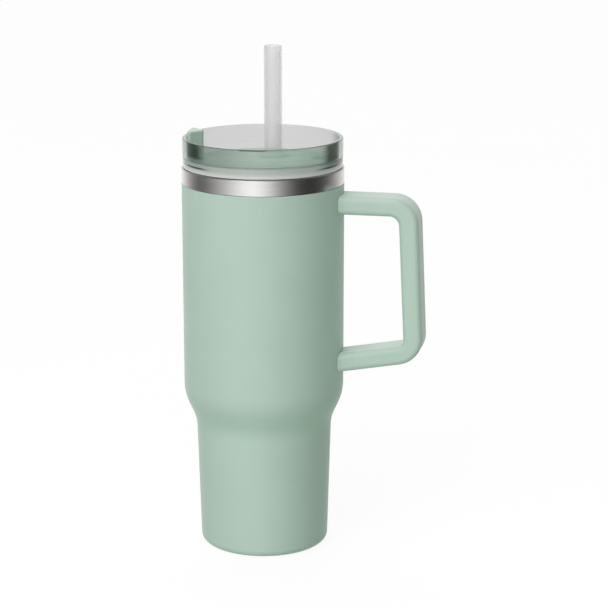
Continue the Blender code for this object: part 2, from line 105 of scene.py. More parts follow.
# rotating cover and its tab; angles in degrees from +X
COVER_R = cover_high[0]
COVER_Z0 = cover_low[2]
COVER_Z1 = cap_low[2] + 0.65
COVER_RIM_Z0 = LEDGE_Z + 0.35
PIN_SEAT = pin_high[2] - 1.0
TAB_Z = cover_high[2]
TAB_R0, TAB_R1 = 37.0, 46.3
TAB_ANGLE, TAB_HALF, TAB_NOSE = 184.0, 12.8, 3.0

# straw
STRAW_X = (straw_low[0] + straw_high[0]) / 2
STRAW_Y = (straw_low[1] + straw_high[1]) / 2
STRAW_AT = (STRAW_X, STRAW_Y)
STRAW_R = (straw_high[0] - straw_low[0]) / 2
STRAW_BORE_R = 4.55
STRAW_Z0, STRAW_Z1 = straw_low[2], straw_high[2]

# handle: two arms and an upright bar; the lower arm rises outwards
ARM_T = 11.6
HANDLE_W = grip_high[1] - grip_low[1]
HANDLE_EDGE = 3.4
ARM_ROOT_X = 50.6
UPPER_MID_Z = grip_high[2] - ARM_T / 2
SLOPE = 0.18
TILT = math.atan(SLOPE)
BAR_OUT_TOP, BAR_OUT_LOW = 97.4, 101.9
BAR_IN_TOP, BAR_IN_LOW = 85.8, 89.6
WELL_X = 57.0


# ---------------------------------------------------------------- geometry
def mm(*sizes):
    return tuple(size * MM for size in sizes)


def fillet(point, before, after, half, radius, setback, steps=None, step=None):
    """The arc that rounds a corner. before and after are unit directions along
    its sides, half is half the angle between them. It has `steps` spans, or
    spans of at most `step` degrees."""
    centre = point + (before + after).normalized() * (radius / math.sin(half))
    start = point + before * setback - centre
    end = point + after * setback - centre
    turn = start.angle(end)
    if steps is None:
        steps = max(2, int(math.ceil(math.degrees(turn) / step)))
    return [centre + (math.sin((1 - k / steps) * turn) * start
                      + math.sin(k / steps * turn) * end) / math.sin(turn)
            for k in range(steps + 1)]


def outline(points, closed=True, step=9.0):
    """Points of (x, z) or (x, z, corner radius) as a line with round corners."""
    count, line = len(points), []

    def plain(i):
        return (len(points[i]) < 3 or points[i][2] <= 0
                or (not closed and i in (0, count - 1)))

    for i, corner in enumerate(points):
        point = Vector(corner[:2])
        if plain(i):
            line.append(tuple(point))
            continue
        following = (i + 1) % count
        before = Vector(points[i - 1][:2]) - point
        after = Vector(points[following][:2]) - point
        half = before.angle(after) / 2
        room = [(0.98 if plain(k) else 0.49) * side.length
                for k, side in ((i - 1, before), (following, after))]
        setback = min(corner[2] / math.tan(half), *room)
        radius = setback * math.tan(half)
        before.normalize()
        after.normalize()
        line += [tuple(p) for p in fillet(point, before, after, half, radius, setback, step=step)]
    return line


def divided(line, longest, closed=False):
    """The line with extra points, so that no span is longer than `longest`."""
    out = []
    for i in range(len(line) if closed else len(line) - 1):
        start, end = Vector(line[i]), Vector(line[(i + 1) % len(line)])
        n = max(1, int(math.ceil((end - start).length / longest)))
        out += [tuple(start.lerp(end, k / n)) for k in range(n)]
    if not closed:
        out.append(line[-1])
    return out


def offset_line(line, distance):
    """The line moved sideways, to its right as it runs."""
    out = []
    for i, point in enumerate(line):
        before, after = Vector(line[max(i - 1, 0)]), Vector(line[min(i + 1, len(line) - 1)])
        along = (after - before).normalized()
        out.append((point[0] + along.y * distance, point[1] - along.x * distance))
    return out


def polar(radius, angle, centre=(0.0, 0.0)):
    return (centre[0] + radius * math.cos(math.radians(angle)),
            centre[1] + radius * math.sin(math.radians(angle)))


def arc(radius, start, sweep, steps, centre=(0.0, 0.0)):
    return [polar(radius, start + sweep * k / steps, centre) for k in range(steps + 1)]


def sector(inner, outer, start, end):
    """A piece of a ring seen from above, with its four corners rounded."""
    points = arc(outer, start, end - start, PORT_STEPS)
    points += arc(inner, start, end - start, PORT_STEPS)[::-1]
    corners = (0, PORT_STEPS, PORT_STEPS + 1, 2 * PORT_STEPS + 1)
    kept = []
    for i, point in enumerate(points):
        if i in corners:
            kept.append((*point, PORT_CORNER))
        # points close to a corner would cut its radius short, so they go
        elif all((Vector(point) - Vector(points[c])).length >= PORT_CORNER * 1.6
                 for c in corners):
            kept.append((*point, 0.0))
    return outline(kept, step=8.0)


def curved_slot(radius, half, start, end, steps=40, end_steps=16):
    """A round-ended slot, 2 * half wide, that follows a circle."""
    points = arc(radius + half, start, end - start, steps)
    points += arc(half, end, 180, end_steps, polar(radius, end))[1:-1]
    points += arc(radius - half, start, end - start, steps)[::-1]
    points += arc(half, start + 180, 180, end_steps, polar(radius, start))[1:-1]
    return points


def new_object(name, build):
    """A scene object made from a bmesh, which is freed."""
    mesh = bpy.data.meshes.new(name)
    build.to_mesh(mesh)
    build.free()
    obj = bpy.data.objects.new(name, mesh)
    bpy.context.scene.collection.objects.link(obj)
    return obj


def lathe(name, line, steps=160, at=(0.0, 0.0), closed=True, marks=None):
    """The line turned about the vertical through `at`. marks gives a face's
    material number from its middle radius and height."""
    build = bmesh.new()
    rings = []
    for r, z in line:
        if r < 1e-4:
            rings.append([build.verts.new(mm(at[0], at[1], z))])
        else:
            rings.append([build.verts.new(mm(at[0] + r * math.cos(math.tau * k / steps),
                                             at[1] + r * math.sin(math.tau * k / steps), z))
                          for k in range(steps)])
    pairs = [(i, i + 1) for i in range(len(line) - 1)]
    if closed:
        pairs.append((len(line) - 1, 0))
    for i, j in pairs:
        first, second = rings[i], rings[j]
        if len(first) == 1 and len(second) == 1:
            continue
        number = 0
        if marks:
            number = marks((line[i][0] + line[j][0]) / 2, (line[i][1] + line[j][1]) / 2)
        for k in range(steps):
            m = (k + 1) % steps
            if len(first) == 1:
                corners = (first[0], second[k], second[m])
            elif len(second) == 1:
                corners = (first[k], second[0], first[m])
            else:
                corners = (first[k], second[k], second[m], first[m])
            build.faces.new(corners).material_index = number
    bmesh.ops.recalc_face_normals(build, faces=build.faces)
    return new_object(name, build)


def prism(name, line, low, high):
    """The closed (x, y) line as a solid between two heights."""
    build = bmesh.new()
    face = build.faces.new([build.verts.new(mm(x, y, low)) for x, y in line])
    made = bmesh.ops.extrude_face_region(build, geom=[face])
    bmesh.ops.translate(build, vec=Vector((0, 0, (high - low) * MM)),
                        verts=[g for g in made["geom"] if isinstance(g, bmesh.types.BMVert)])
    bmesh.ops.recalc_face_normals(build, faces=build.faces)
    return new_object(name, build)


def cut(obj, tool, kind='DIFFERENCE'):
    """Apply a boolean with the tool, which is then removed."""
    boolean = obj.modifiers.new(kind.lower(), 'BOOLEAN')
    boolean.operation, boolean.solver, boolean.object = kind, 'EXACT', tool
    depsgraph = bpy.context.evaluated_depsgraph_get()
    depsgraph.update()
    mesh = bpy.data.meshes.new_from_object(obj.evaluated_get(depsgraph))
    mesh.name = obj.name
    obj.modifiers.clear()
    obj.data = mesh
    bpy.data.objects.remove(tool, do_unlink=True)


def finish(obj, materials, sharp=32.0):
    """Materials, smooth shading with edges sharp above an angle, even normals."""
    mesh = obj.data
    numbers = [0] * len(mesh.polygons)
    mesh.polygons.foreach_get("material_index", numbers)
    mesh.materials.clear()             # which sets every face's number to 0
    for material in materials:
        mesh.materials.append(material)
    if len(materials) > 1:
        mesh.polygons.foreach_set("material_index",
                                  [min(n, len(materials) - 1) for n in numbers])
    mesh.shade_smooth()
    mesh.set_sharp_from_angle(angle=math.radians(sharp))
    weighted = obj.modifiers.new("even_shading", 'WEIGHTED_NORMAL')
    weighted.keep_sharp = True
    weighted.weight = 80


def carry(obj, body, node):
    """Put the object on a CAD body, in place of a CAD node."""
    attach(obj, body)
    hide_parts(node)


def dress(obj, material, body, node, sharp=32.0):
    finish(obj, [material], sharp)
    carry(obj, body, node)


def turned(name, points, steps, material, body, node,
           at=(0.0, 0.0), closed=True, step=9.0, sharp=50.0):
    """A whole piece turned from one profile."""
    obj = lathe(name, outline(points, closed, step), steps, at, closed)
    dress(obj, material, body, node, sharp)


# --------------------------------------------------------------- materials
class Tree:
    """A short way to write a node tree."""

    def __init__(self, node_tree):
        self.nodes, self.links = node_tree.nodes, node_tree.links

    def node(self, kind, **values):
        made = self.nodes.new(kind)
        for key, value in values.items():
            setattr(made, key, value)
        return made

    def put(self, value, socket):
        """Link or set an input; a colour of three numbers gets its alpha."""
        if isinstance(value, bpy.types.NodeSocket):
            self.links.new(value, socket)
        elif isinstance(value, tuple) and len(value) == 3:
            socket.default_value = (*value, 1.0)
        else:
            socket.default_value = value

    def maths(self, operation, a, b=0.0, c=0.0, clamp=False):
        made = self.node("ShaderNodeMath", operation=operation, use_clamp=clamp)
        for value, socket in zip((a, b, c), made.inputs):
            if value is not None:
                self.put(value, socket)
        return made.outputs[0]

    def times(self, a, b):
        return self.maths('MULTIPLY', a, b)

    def rest(self, value):
        return self.maths('SUBTRACT', 1.0, value)

    def ramp(self, value, stops, interpolation='LINEAR'):
        """A colour ramp with stops of (position, colour)."""
        made = self.node("ShaderNodeValToRGB")
        made.color_ramp.interpolation = interpolation
        elements = made.color_ramp.elements
        while len(elements) < len(stops):
            elements.new(0.5)
        for element, (position, colour) in zip(elements, stops):
            element.position = position
            element.color = (*colour, 1.0)
        self.put(value, made.inputs[0])
        return made.outputs[0]

    def axes(self, vector):
        made = self.node("ShaderNodeSeparateXYZ")
        self.put(vector, made.inputs[0])
        return made.outputs

    def lobe(self, kind, colour, strength=None):
        """A shader node with a colour and, for a glowing one, a strength."""
        made = self.node("ShaderNode" + kind)
        self.put(colour, made.inputs[0])
        if strength is not None:
            self.put(strength, made.inputs[1])
        return made.outputs[0]

    def mix_shaders(self, share, first, second):
        made = self.node("ShaderNodeMixShader")
        for value, socket in zip((share, first, second), made.inputs):
            self.put(value, socket)
        return made.outputs[0]


class Shader(Tree):
    """A material's node tree."""

    def __init__(self, name):
        self.material = bpy.data.materials.new(name)
        self.material.use_nodes = True
        super().__init__(self.material.node_tree)
        self.out = self.nodes["Material Output"]
        self.bsdf = self.nodes["Principled BSDF"]

    def set(self, **values):
        for key, value in values.items():
            self.put(value, self.bsdf.inputs[key.replace("_", " ")])

    def place(self):
        return self.node("ShaderNodeTexCoord").outputs["Object"]

    def scaled(self, vector, scale):
        made = self.node("ShaderNodeMapping")
        self.put(vector, made.inputs["Vector"])
        made.inputs["Scale"].default_value = scale
        return made.outputs[0]

    def span(self, value, over, to=(0.0, 1.0), smooth=True):
        """The value mapped from one range to another, and held at its ends."""
        made = self.node("ShaderNodeMapRange",
                         interpolation_type='SMOOTHSTEP' if smooth else 'LINEAR')
        for number, socket in zip((value, *over, *to), made.inputs):
            self.put(number, socket)
        return made.outputs[0]

    def noise(self, vector, scale, detail=3.0, rough=0.5):
        made = self.node("ShaderNodeTexNoise")
        self.put(vector, made.inputs["Vector"])
        made.inputs["Scale"].default_value = scale
        made.inputs["Detail"].default_value = detail
        made.inputs["Roughness"].default_value = rough
        return made.outputs["Fac"]

    def mix(self, share, first, second, blend='MIX'):
        made = self.node("ShaderNodeMix", data_type='RGBA', blend_type=blend)
        self.put(share, made.inputs[0])
        self.put(first, made.inputs[6])
        self.put(second, made.inputs[7])
        return made.outputs[2]

    def shades(self, value, colour, dark, light, over):
        """A colour that runs from `dark` to `light` times itself."""
        return self.mix(self.span(value, over=over), tint(colour, dark), tint(colour, light))

    def bump(self, height, strength, distance, normal=None):
        made = self.node("ShaderNodeBump")
        made.inputs["Strength"].default_value = strength
        made.inputs["Distance"].default_value = distance
        self.put(height, made.inputs["Height"])
        if normal is not None:
            self.put(normal, made.inputs["Normal"])
        return made.outputs[0]

    def radius(self, x, y):
        return self.maths('SQRT', self.maths('ADD', self.times(x, x), self.times(y, y)))

    def cylinder_place(self, spin, lift, out):
        """(angle, height, radius) about the mug's axis, each scaled."""
        x, y, z = self.axes(self.place())
        made = self.node("ShaderNodeCombineXYZ")
        self.put(self.times(self.maths('ARCTAN2', y, x), spin), made.inputs[0])
        self.put(self.times(z, lift), made.inputs[1])
        self.put(self.times(self.radius(x, y), out), made.inputs[2])
        return made.outputs[0]

    def backfacing(self):
        return self.node("ShaderNodeNewGeometry").outputs["Backfacing"]


def tint(colour, factor):
    return tuple(min(1.0, c * factor) for c in colour)


SAGE = (0.465, 0.591, 0.518)
DEEP_SAGE = tint(SAGE, 0.85)
MID = (0.3, 0.7)                      # the part of a noise's range most used


def powder_coat(name, colour):
    """Baked powder coat: a fine orange peel with a grain of tiny specks."""
    tree = Shader(name)
    at = tree.place()
    cloud = tree.noise(at, scale=28.0, detail=2.0)
    grain = tree.noise(at, scale=2600.0, detail=2.0, rough=0.6)
    peel = tree.noise(at, scale=760.0, rough=0.55)
    base = tree.shades(cloud, colour, dark=0.975, light=1.02, over=MID)
    base = tree.mix(tree.span(grain, over=(0.35, 0.75)), base, tint(colour, 1.06))
    peeled = tree.bump(peel, strength=0.16, distance=0.00030)
    tree.set(Base_Color=base, Roughness=tree.span(peel, over=MID, to=(0.46, 0.60)),
             Specular_IOR_Level=0.42, Sheen_Weight=0.22, Sheen_Roughness=0.30,
             Sheen_Tint=(0.95, 1.0, 0.97),
             Normal=tree.bump(grain, strength=0.10, distance=0.00008, normal=peeled))
    return tree.material


def moulded(name, colour, rough, grain_depth, sheen=0.0):
    """Injection-moulded plastic with a fine eroded grain."""
    tree = Shader(name)
    at = tree.place()
    grain = tree.noise(at, scale=1500.0, detail=4.0, rough=0.65)
    flow = tree.noise(tree.scaled(at, (1.0, 1.0, 0.25)), scale=45.0, detail=2.0)
    base = tree.shades(flow, colour, dark=0.97, light=1.02, over=MID)
    base = tree.mix(tree.span(grain, over=(0.45, 0.8)), base, tint(colour, 1.05))
    tree.set(Base_Color=base,
             Roughness=tree.span(grain, over=MID, to=(rough - 0.05, rough + 0.06)),
             Specular_IOR_Level=0.45, Sheen_Weight=sheen,
             Normal=tree.bump(grain, strength=0.14, distance=grain_depth))
    return tree.material


def turned_steel(name, rough, colour=(0.515, 0.507, 0.502), shaded_lip_z=None, metal=1.0):
    """Stainless steel with fine rings round the axis. Its colour darkens
    towards the given lip height: a painted shadow and dark reflection from the gap under the lid.
    A satin, scattering finish has metal under 1."""
    tree = Shader(name)
    lines = tree.noise(tree.cylinder_place(spin=1.6, lift=900.0, out=900.0),
                       scale=4.0, detail=4.0, rough=0.7)
    wide = tree.noise(tree.cylinder_place(spin=0.8, lift=90.0, out=90.0), scale=3.0, detail=2.0)
    base = tree.shades(wide, colour, dark=0.95, light=1.03, over=(0.25, 0.75))
    if shaded_lip_z is not None:
        height = tree.axes(tree.place())[2]
        # painted shade: darker just under the lip, for the gap under the lid
        lip = tree.span(height, over=mm(shaded_lip_z - 0.8, shaded_lip_z - 0.3), to=(1.0, 0.68))
        base = tree.mix(1.0, base, lip, 'MULTIPLY')
    tangent = tree.node("ShaderNodeTangent", direction_type='RADIAL', axis='Z')
    tree.set(Base_Color=base, Metallic=metal,
             Roughness=tree.span(lines, over=(0.2, 0.8), to=(rough - 0.05, rough + 0.09)),
             Anisotropic=0.55, Tangent=tangent.outputs[0],
             Normal=tree.bump(lines, strength=0.10, distance=0.00004))
    return tree.material


def silicone(name, colour=(0.80, 0.81, 0.80)):
    tree = Shader(name)
    at = tree.place()
    soft = tree.noise(at, scale=900.0, rough=0.6)
    cloud = tree.noise(at, scale=60.0, detail=2.0)
    tree.set(Base_Color=tree.shades(cloud, colour, dark=0.95, light=1.02, over=MID),
             Roughness=tree.span(soft, over=MID, to=(0.48, 0.62)),
             Subsurface_Weight=0.25, Subsurface_Scale=0.002,
             Normal=tree.bump(soft, strength=0.12, distance=0.00005))
    return tree.material


def foil(name):
    """Crumpled copper foil."""
    tree = Shader(name)
    at = tree.place()
    crumple = tree.node("ShaderNodeTexVoronoi")
    tree.put(at, crumple.inputs["Vector"])
    crumple.inputs["Scale"].default_value = 120.0
    fine = tree.noise(at, scale=400.0)
    tree.set(Base_Color=tree.mix(fine, (0.82, 0.44, 0.28), (0.93, 0.56, 0.37)), Metallic=1.0,
             Roughness=tree.span(fine, over=MID, to=(0.2, 0.36)),
             Normal=tree.bump(crumple.outputs["Distance"], strength=0.5, distance=0.0006))
    return tree.material


def mottled(name, dark, light, scale, rough, metallic=0.0):
    tree = Shader(name)
    blotch = tree.noise(tree.place(), scale=scale, detail=4.0, rough=0.6)
    tree.set(Base_Color=tree.mix(blotch, dark, light), Metallic=metallic,
             Roughness=tree.span(blotch, over=MID, to=(rough - 0.06, rough + 0.08)),
             Normal=tree.bump(blotch, strength=0.3, distance=0.0001))
    return tree.material


# The frosted flange's painted shading, as (height, factor): light at its foot, darker and greener
# towards its top
FLANGE_PAINTED_SHADES = [(FLANGE_Z0, (1.0, 1.0, 1.0)),
                 (FLANGE_Z0 + 1.4, (0.97, 0.97, 0.97)),
                 (FLANGE_Z0 + 2.1, (0.74, 0.75, 0.745)),
                 (FLANGE_Z0 + 3.0, (0.60, 0.62, 0.61)),
                 (FLANGE_Z0 + 3.8, (0.55, 0.58, 0.56)),
                 (FLANGE_Z0 + 4.8, (0.46, 0.51, 0.48)),
                 (FLANGE_Z1, (0.36, 0.44, 0.39))]
FLANGE_LINE_Z = FLANGE_Z0 + 3.6
FLANGE_SHADOW = (0.035, 0.050, 0.041)  # the painted shadow colour of its line
WALL_SEEN_COVER = (0.34, 0.455, 0.385)    # the cover's colour, painted on the wall's skin where the cover shows through
WALL_SHADE = (0.07, 0.11, 0.085)       # what its painted dark band lets through


def flange_shadow_line(tree, at, height, slant, behind, under):
    """A painted shadow: a fine dark line round the flange, for the shade of its groove,
    stronger towards the sides, and painted shade above it that grows towards the handle (+X)."""
    x = tree.axes(at)[0]
    near = tree.maths('ABSOLUTE', tree.maths('SUBTRACT', height, FLANGE_LINE_Z * MM))
    # painted groove shadow, stronger at a slant
    line = tree.times(tree.span(near, over=mm(0.25, 0.95), to=(1.0, 0.0)),
                      tree.span(slant, over=(0.22, 0.42), to=(0.05, 0.92)))
    line = tree.times(line, tree.span(slant, over=(0.56, 0.74), to=(1.0, 0.45)))
    above = tree.times(tree.span(height, over=mm(FLANGE_LINE_Z, FLANGE_LINE_Z + 0.6)),
                       tree.span(slant, over=(0.25, 0.50), to=(0.0, 0.12)))
    above = tree.times(above, tree.span(x, over=(0.010, 0.034), to=(1.0, 4.6)))
    share = tree.times(tree.maths('MAXIMUM', line, above), tree.rest(behind))
    return tree.mix_shaders(share, under, tree.lobe("BsdfDiffuse", FLANGE_SHADOW))


def painted_wall_shading(tree, at, slant, under):
    """Painted light on the outer skin of the lid's wall: the cover's colour is
    painted in where it shows through, and painted shade darkens it in a slanted band, at its lip
    and in a front streak."""
    round_x, round_y, height = tree.axes(tree.place())
    radius = tree.radius(round_x, round_y)
    skin = tree.times(tree.rest(tree.backfacing()),
                      tree.maths('GREATER_THAN', radius, (LID_R - 0.9) * MM))
    x, y, _ = tree.axes(at)
    # the painted cover colour: darker at the foot, painted brighter towards +X, faintly striped
    tone = tree.mix(tree.span(height, over=mm(FLANGE_Z1 + 0.6, FLANGE_Z1 + 6.5)),
                    tint(WALL_SEEN_COVER, 0.80), WALL_SEEN_COVER)
    painted_light_x = tree.span(x, over=(-0.020, 0.028), to=(0.68, 1.36))
    painted_cover = tree.lobe("BsdfDiffuse", tree.mix(1.0, tone, painted_light_x, 'MULTIPLY'))
    stripes = tree.noise(tree.scaled(at, (2.0, 2.0, 420.0)), scale=1.0, detail=2.0)
    share = tree.times(tree.span(stripes, over=MID, to=(0.88, 1.06)),
                       tree.span(slant, over=(0.50, 0.72), to=(0.62, 0.10)))
    tinted = tree.mix_shaders(tree.times(share, skin), under, painted_cover)
    # the painted dark band of shade, whose foot lies lower towards +X
    dark = tree.lobe("BsdfTransparent", WALL_SHADE)
    band = tree.times(tree.span(slant, over=(0.30, 0.46)),
                      tree.rest(tree.span(slant, over=(0.60, 0.70))))
    level = tree.maths('ADD', height, tree.span(x, over=(-0.01, 0.01), to=mm(0.0, 3.0)))
    foot = tree.span(level, over=mm(FLANGE_Z1 + 2.0, FLANGE_Z1 + 4.0), to=(0.25, 1.0))
    band = tree.times(tree.times(band, foot), 0.92)
    # painted shade on the wall's top lip
    lip = tree.span(height, over=mm(LID_Z - 0.9, LID_Z - 0.4), to=(0.0, 0.35))
    # a painted dark streak under the lip, just right of the middle of the front
    away = tree.maths('ABSOLUTE', tree.maths('SUBTRACT', x, 0.0045))
    painted_streak = tree.times(tree.span(height, over=mm(LID_Z - 1.15, LID_Z - 0.6)),
                        tree.span(away, over=(0.006, 0.011), to=(0.8, 0.0)))
    ahead = tree.times(tree.maths('LESS_THAN', y, 0.0),
                       tree.maths('GREATER_THAN', radius, (LID_BORE_R + 0.5) * MM))
    painted_streak = tree.times(painted_streak, ahead)
    amount = tree.times(tree.maths('MAXIMUM', band, lip), skin)
    return tree.mix_shaders(tree.maths('MAXIMUM', amount, painted_streak), tinted, dark)


def clear_plastic(name, passes, milk, milk_colour, rough=0.05, shine=1.0, backlit=0.35,
                  painted_rim=None, shade_evening=None, flange=False, painted_wall=False):
    """Clear or frosted plastic as a thin sheet: what it passes is tinted, more
    where it is seen edge on, where a painted rim colour, if given, darkens it for refraction at
    the edge, and its skin mirrors more at a slant. milk is the share of frosting that catches
    light, backlit the part of it lit from behind. The milk can be painted thinner across x, as (x
    range, factors), to even out shade.
    The flags for flange and wall add the lid's painted flange and wall shading."""
    tree = Shader(name)
    tree.nodes.remove(tree.bsdf)
    at = tree.place()
    facing = tree.node("ShaderNodeLayerWeight")
    facing.inputs["Blend"].default_value = 0.5
    slant = facing.outputs["Facing"]                      # 0 seen square, 1 edge on

    colour = tree.mix(tree.span(slant, over=(0.15, 1.0)), passes,
                      tuple(c ** 1.2 for c in passes))
    # painted darkening seen edge on, greyish green, standing in for refraction at the edge
    if painted_rim is not None:
        colour = tree.mix(tree.span(slant, over=(0.52, 0.72)), colour, painted_rim)
    through = tree.lobe("BsdfTransparent", colour)

    faint = tree.noise(at, scale=70.0, detail=2.0)
    frost = tree.mix(faint, tint(milk_colour, 0.97), tint(milk_colour, 1.03))
    amount = tree.maths('MULTIPLY', tree.span(slant, over=(0.2, 1.0), to=(1.0, 1.3)), milk,
                        clamp=True)
    if flange:
        height = tree.axes(tree.place())[2]
        low, high = FLANGE_PAINTED_SHADES[0][0], FLANGE_PAINTED_SHADES[-1][0]
        # painted shading by height, multiplied into the frost colour
        shade = tree.ramp(tree.span(height, over=mm(low, high), smooth=False),
                          [((z - low) / (high - low), factor) for z, factor in FLANGE_PAINTED_SHADES])
        frost = tree.mix(1.0, frost, shade, 'MULTIPLY')
        behind = tree.backfacing()
        amount = tree.times(amount, tree.rest(behind))
    if shade_evening is not None:
        # painted light: the milk changes across x, so a side in shade looks as light as a lit
        # side
        x_range, factors = shade_evening
        amount = tree.times(amount, tree.span(tree.axes(at)[0], over=x_range, to=factors))
    haze = tree.mix_shaders(backlit, tree.lobe("BsdfDiffuse", frost),
                            tree.lobe("BsdfTranslucent", milk_colour))
    body = tree.mix_shaders(amount, through, haze)
    if flange:
        body = flange_shadow_line(tree, at, height, slant, behind, body)
    if painted_wall:
        body = painted_wall_shading(tree, at, slant, body)

    skin = tree.node("ShaderNodeBsdfGlossy")
    skin.inputs["Roughness"].default_value = rough
    fine = tree.noise(at, scale=1400.0, detail=2.0)
    tree.put(tree.bump(fine, strength=0.04, distance=0.00003), skin.inputs["Normal"])
    # mirroring rises from 0.04 seen square to 1 edge on
    mirror = tree.maths('MULTIPLY_ADD', tree.maths('POWER', slant, 5.0), 0.96, 0.04)
    top = tree.mix_shaders(tree.maths('MULTIPLY', mirror, shine, clamp=True), body,
                           skin.outputs[0])
    tree.put(top, tree.out.inputs[0])
    return tree.material


PAINT = powder_coat("sage_powder_coat", SAGE)
GRIP = moulded("sage_grip_plastic", SAGE, rough=0.50, grain_depth=0.00010, sheen=0.22)
COVER = moulded("sage_cover_plastic", tint(SAGE, 0.92), rough=0.38, grain_depth=0.00005)
PLUG = moulded("sage_rubber", DEEP_SAGE, rough=0.70, grain_depth=0.00008)
# the ring gets a painted shade under the lid's gap
STEEL = turned_steel("turned_steel_ring", rough=0.20, shaded_lip_z=RIM_Z)
VESSEL = turned_steel("brushed_steel_inside", rough=0.32, colour=(0.82, 0.815, 0.805), metal=0.62)
STRAP = turned_steel("strap_steel", rough=0.34, colour=(0.66, 0.65, 0.64))
SILICONE = silicone("white_silicone")
SLEEVE = silicone("sage_silicone", DEEP_SAGE)
FOIL = foil("copper_foil")
GETTER = mottled("getter_alloy", (0.24, 0.24, 0.25), (0.36, 0.36, 0.37), scale=900.0,
                 rough=0.55, metallic=0.9)
SOLDER = mottled("glass_solder", (0.14, 0.17, 0.15), (0.24, 0.27, 0.24), scale=500.0, rough=0.30)
WALL_CLEAR = clear_plastic("clear_lid_wall", passes=(0.83, 0.83, 0.83), milk=0.03,
                           milk_colour=(0.66, 0.67, 0.665), shine=0.8,
                           painted_rim=(0.61, 0.64, 0.622), painted_wall=True)
FLANGE_CLEAR = clear_plastic("frosted_lid_flange", passes=(0.83, 0.84, 0.835), milk=0.92,
                             milk_colour=(0.95, 0.95, 0.95), rough=0.12, flange=True)
INNER_CLEAR = clear_plastic("clear_lid_floor", passes=(0.90, 0.91, 0.905), milk=0.12,
                            milk_colour=(0.70, 0.72, 0.71))
PIN_CLEAR = clear_plastic("clear_pin", passes=(0.84, 0.85, 0.84), milk=0.30,
                          milk_colour=(0.74, 0.75, 0.74))
# the straw's milk is painted thinner towards +X, its side in shade
STRAW_CLEAR = clear_plastic("frosted_straw", passes=(0.968, 0.967, 0.967), milk=0.42,
                            milk_colour=(0.99, 0.960, 0.98), rough=0.16, shine=0.5, backlit=0.62,
                            shade_evening=(mm(STRAW_X - 1.5, STRAW_X + 3.2), (1.12, 0.66)))


# -------------------------------------------------------------------- body
def painted_shell():
    outer = outline([(BODY_R, PAINT_TOP, 0), (*SHOULDER, SHOULDER_FILLET), (*WAIST, WAIST_FILLET),
                     (BASE_R, 0.0, BASE_FILLET), (BASE_HOLE_R, 0.0)], closed=False, step=2.2)
    outer = divided(outer, 6.0)
    inner = list(reversed(offset_line(outer, WALL)))
    # near the bottom, the inner side stays a wall's thickness above the floor
    inner = [(r, max(z, WALL)) if z < 5 else (r, z) for r, z in inner]
    lip = outline([(BODY_R, PAINT_TOP - 1.0), (BODY_R, PAINT_TOP, 0.28),
                   (BODY_R - WALL, PAINT_TOP, 0.2), (BODY_R - WALL, PAINT_TOP - 1.0)],
                  closed=False)
    side = [p for p in outer + inner if p[1] < PAINT_TOP - 1.2]
    shell = lathe("painted_shell", lip[::-1] + side, 224)
    dress(shell, PAINT, "mug", "outer_shell")


def vessel_side(inset, top_z, floor_z, floor_fillet):
    """One face of the drink's wall, from the top down to the axis."""
    raised = inset * math.tan(math.radians(12.1))
    return outline([(BODY_R - inset, top_z),
                    (SHOULDER[0] - inset, SHOULDER[1] + raised, SHOULDER_FILLET + inset),
                    (WAIST[0] - inset, WAIST[1] + raised, WAIST_FILLET - inset),
                    (BASE_R - inset + 0.2, floor_z, floor_fillet), (0.0, floor_z)],
                   closed=False, step=3.0)


def steel_vessel():
    """The drink's own wall and the bare ring at the mouth."""
    out_inset, in_inset = WALL + VACUUM, 2 * WALL + VACUUM
    ring_z0 = PAINT_TOP + 0.18
    outside = vessel_side(out_inset, RIM_Z - 3.2, floor_z=8.0, floor_fillet=8.0)
    inside = vessel_side(in_inset, RIM_Z - 0.9, floor_z=8.8, floor_fillet=7.2)
    mouth = outline([(BODY_R - in_inset, RIM_Z - 1.2), (BODY_R - in_inset, RIM_Z, 0.8),
                     (BODY_R, RIM_Z, 0.55), (BODY_R, ring_z0, 0.22),
                     (BODY_R - 1.0, ring_z0, 0.15), (BODY_R - 1.0, RIM_Z - 1.6, 0.3),
                     (BODY_R - out_inset + 0.5, RIM_Z - 1.6, 0.2),
                     (BODY_R - out_inset, RIM_Z - 3.2)], closed=False)
    line = divided(inside[::-1], 8.0) + mouth[1:-1] + divided(outside, 8.0)
    vessel = lathe("steel_vessel", line, 192, closed=False,
                   marks=lambda r, z: 0 if z > PAINT_TOP and r > BODY_R - 4.2 else 1)
    finish(vessel, [STEEL, VESSEL])
    carry(vessel, "mug", "inner_vessel")


painted_shell()
turned("bottom_plate", [(0.0, 1.5), (PLATE_R, 1.5, 0.35), (PLATE_R, 0.0, 0.5),
                        (PLATE_R - 3.2, 0.0, 0.3), (PLATE_R - 3.6, 0.35, 0.3), (0.0, 0.35)],
       160, PAINT, "mug", "base_cover", closed=False, sharp=32.0)
steel_vessel()


# ------------------------------------------------------------------ handle
def lower_mid_z(x):
    """The height of the lower arm's middle line."""
    return 120.45 + (x - 50.0) * SLOPE


def bend(before, point, after, radius):
    point = Vector(point)
    before = (Vector(before) - point).normalized()
    after = (Vector(after) - point).normalized()
    half = before.angle(after) / 2
    return fillet(point, before, after, half, radius, radius / math.tan(half), steps=22)


def rail(points, radii):
    """Five runs of a handle's edge line: arm, corner, bar, corner, arm."""
    upper = bend(*points[:3], radii[0])
    lower = bend(*points[1:], radii[1])
    runs = [[Vector(points[0]).lerp(upper[0], k / 14) for k in range(14)], upper[:-1],
            [upper[-1].lerp(lower[0], k / 24) for k in range(24)], lower[:-1],
            [lower[-1].lerp(Vector(points[3]), k / 14) for k in range(15)]]
    return [p for run in runs for p in run]


